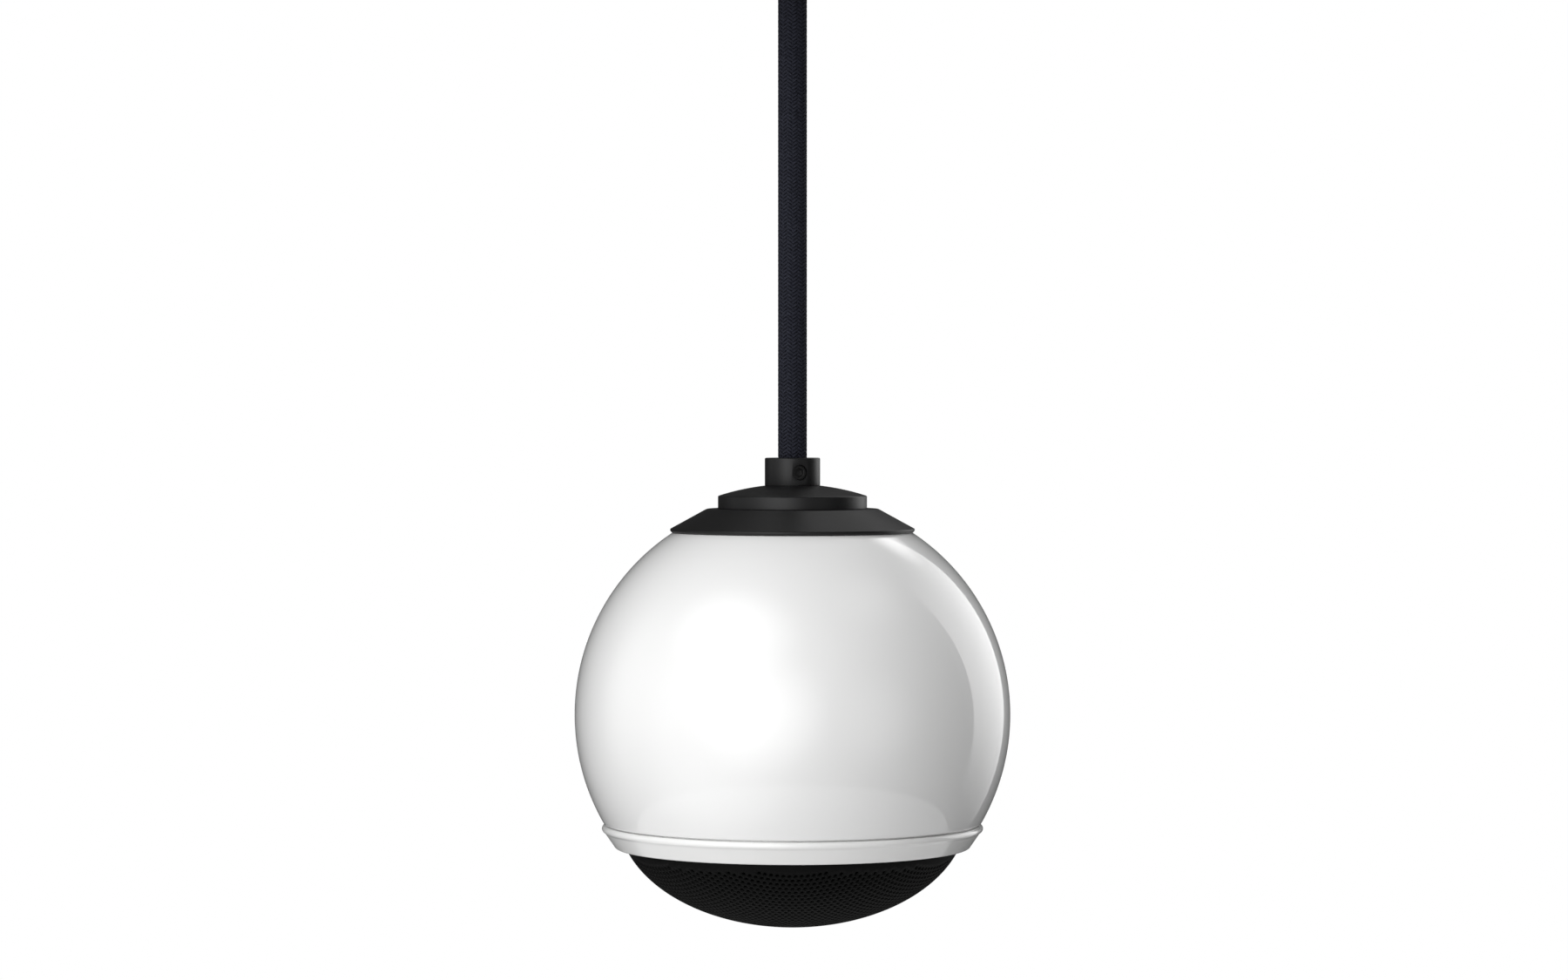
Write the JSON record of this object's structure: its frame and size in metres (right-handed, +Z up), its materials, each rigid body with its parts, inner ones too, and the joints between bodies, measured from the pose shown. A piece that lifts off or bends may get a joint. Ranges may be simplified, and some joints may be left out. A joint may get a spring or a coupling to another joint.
{
  "type": "pendant speaker",
  "caption": "Ball-shaped pendant loudspeaker on a taut textile cord with its ceiling rose; domed grille below and a driver inside.",
  "frame": {"origin": "middle of the ceiling rose's mounting face, where it meets the ceiling", "axes": "+Z up along the cord into the ceiling; the front of the speaker, with the view of the picture, is towards -Y"},
  "size_m": [0.102, 0.102, 0.2537],
  "materials": {
    "white_lacquer": "gloss",
    "white_moulding": "gloss",
    "black_mesh": "matte",
    "black_moulding": "matte",
    "black_satin_metal": "satin",
    "black_satin_aluminium": "satin",
    "black_screw": "satin",
    "braid": "matte",
    "zinc_steel": "satin",
    "ferrite": "matte",
    "foam": "matte",
    "gasket_foam": "matte",
    "cone_paper": "matte",
    "surround_rubber": "matte",
    "spider_cloth": "matte",
    "former_foil": "satin",
    "copper": "satin",
    "strip_board": "matte",
    "brass": "satin",
    "red_core": "satin",
    "black_core": "satin",
    "natural_moulding": "matte"
  },
  "bodies": {
    "pendant": {"shell": "white_lacquer", "trim_ring": "white_moulding", "grille": "black_mesh", "seat_ring": "black_moulding", "top_disc": "black_satin_aluminium", "cord_collar": "black_satin_aluminium", "collar_grub_screw": "black_screw", "collar_nut": "zinc_steel", "clamp_plate": "zinc_steel", "lower_ferrule": "zinc_steel", "cord": "braid", "foam_lining": "foam", "lead_positive": "red_core", "lead_negative": "black_core", "baffle_ring": "black_moulding", "baffle_screws": "zinc_steel", "driver_gasket": "gasket_foam", "driver_basket": "black_satin_metal", "driver_screws": "black_screw", "front_plate": "zinc_steel", "magnet_ring": "ferrite", "pole_plate": "zinc_steel", "spider": "spider_cloth", "surround": "surround_rubber", "terminal_strip": "strip_board", "terminal_tags": "brass", "tinsel_leads": "copper", "rose_cup": "black_satin_metal", "rose_bracket": "zinc_steel", "rose_side_screws": "black_screw", "rose_grip": "black_satin_aluminium", "rose_grub_screw": "black_screw", "rose_nut": "zinc_steel", "upper_ferrule": "zinc_steel", "terminal_block": "natural_moulding", "clamp_screws": "brass", "block_screw": "zinc_steel", "tail_positive": "red_core", "tail_negative": "black_core"},
    "diaphragm": {"cone": "cone_paper", "dust_cap": "cone_paper", "coil_former": "former_foil", "voice_coil": "copper"}
  },
  "joints": [
    {"name": "cone_travel", "type": "slide", "parent": "pendant", "child": "diaphragm", "axis": [0, 0, -1], "range_m": [-0.002, 0.002], "stiffness_N_per_m": 1200, "deforming": ["surround", "spider", "tinsel_leads"]}
  ]
}
